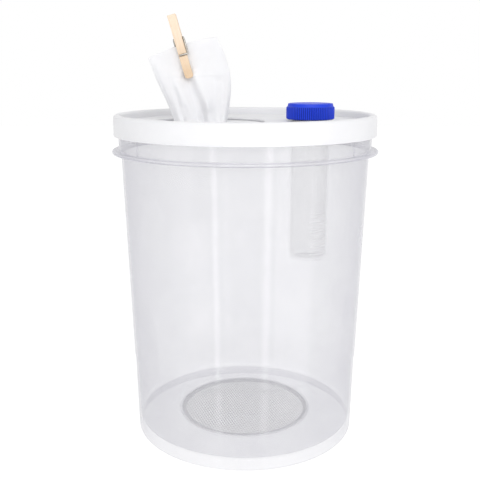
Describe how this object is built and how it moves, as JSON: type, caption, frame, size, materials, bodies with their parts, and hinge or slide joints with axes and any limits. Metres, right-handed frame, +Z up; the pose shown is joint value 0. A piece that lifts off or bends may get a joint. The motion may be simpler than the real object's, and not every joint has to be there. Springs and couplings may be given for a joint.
{
  "type": "insect rearing jar",
  "caption": "Tall translucent tub with a woven floor vent and a white snap lid that carries a cloth sleeve, closed by a clothespin, and a capped sample tube.",
  "frame": {"origin": "centre of the foot ring on the surface that the tub stands on", "axes": "+Z up along the tub's axis, -Y the front with the clothespin, +X towards the sample tube"},
  "size_m": [0.1928, 0.1928, 0.3088],
  "materials": {
    "translucent_plastic": "natural translucent polypropylene, satin",
    "woven_steel": "fine plain-woven stainless wire",
    "glue": "pale hot-melt glue",
    "white_plastic": "white moulded polyethylene, satin",
    "cloth": "soft white knitted cloth",
    "clear_plastic": "clear polypropylene, glossy",
    "blue_plastic": "blue moulded polyethylene",
    "liner_foam": "white foamed sealing disc",
    "wood": "bare pale birch",
    "spring_wire": "galvanised spring wire"
  },
  "bodies": {
    "tub": {"tub": "translucent_plastic", "vent_mesh": "woven_steel", "vent_bond_bead": "glue"},
    "lid": {"lid": "white_plastic", "sleeve": "cloth", "sleeve_bond_bead": "glue"},
    "tube": {"tube": "clear_plastic"},
    "liner": {"cap_liner": "liner_foam"},
    "cap": {"tube_cap": "blue_plastic"},
    "peg_front": {"peg_front_leg": "wood", "peg_spring_front": "spring_wire"},
    "peg_rear": {"peg_rear_leg": "wood", "peg_spring_rear": "spring_wire"}
  },
  "joints": [
    {"name": "lid_lift", "type": "slide", "parent": "tub", "child": "lid", "axis": [0, 0, 1], "range_m": [0, 0.13]},
    {"name": "tube_lift", "type": "slide", "parent": "lid", "child": "tube", "axis": [0, 0, 1], "range_m": [0, 0.12]},
    {"name": "cap_rise", "type": "slide", "parent": "tube", "child": "liner", "axis": [0, 0, 1], "range_m": [0, 0.00501]},
    {"name": "cap_turn", "type": "hinge", "parent": "liner", "child": "cap", "pos_m": [0.0475, 0, 0.24], "axis": [0, 0, 1], "range_deg": [0, 540]},
    {"name": "peg_slide", "type": "slide", "parent": "lid", "child": "peg_front", "axis": [-0.274, 0, 0.9617], "range_m": [0, 0.04]},
    {"name": "peg_squeeze", "type": "hinge", "parent": "peg_front", "child": "peg_rear", "pos_m": [-0.047, 0, 0.29025], "axis": [0.9617, 0, 0.274], "range_deg": [0, 11], "stiffness_Nm_per_rad": 0.2, "springref_deg": -17.19}
  ],
  "couplings": [
    {"joint": "cap_rise", "follows": "cap_turn", "m_per_rad": 0.00053051}
  ]
}
